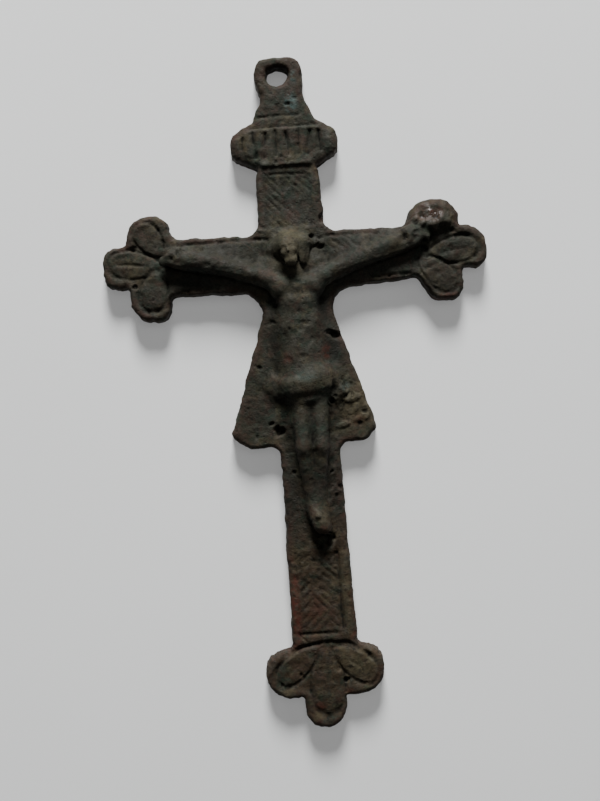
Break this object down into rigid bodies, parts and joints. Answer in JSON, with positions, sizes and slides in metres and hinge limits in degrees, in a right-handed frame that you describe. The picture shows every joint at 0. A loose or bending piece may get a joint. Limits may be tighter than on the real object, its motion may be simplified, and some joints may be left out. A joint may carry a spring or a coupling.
{
  "type": "pilgrim cross",
  "caption": "Flat cast metal cross with lobed ends, a title plaque, a flared field and a relief figure; its pierced head hangs on a cord or ring.",
  "frame": {"origin": "the back plane where the arms cross the shaft", "axes": "+Z out of the front, away from the flat back; +Y up the shaft towards the hanging eye; +X to the viewer's right"},
  "size_m": [0.0413, 0.0722, 0.005],
  "materials": {
    "patinated_brass": "old cast copper alloy under a dark brown-grey patina, satin, lightly pitted, with rust-red and pale green spots"
  },
  "bodies": {
    "root": {"pilgrim_cross": "patinated_brass"}
  },
  "joints": []
}
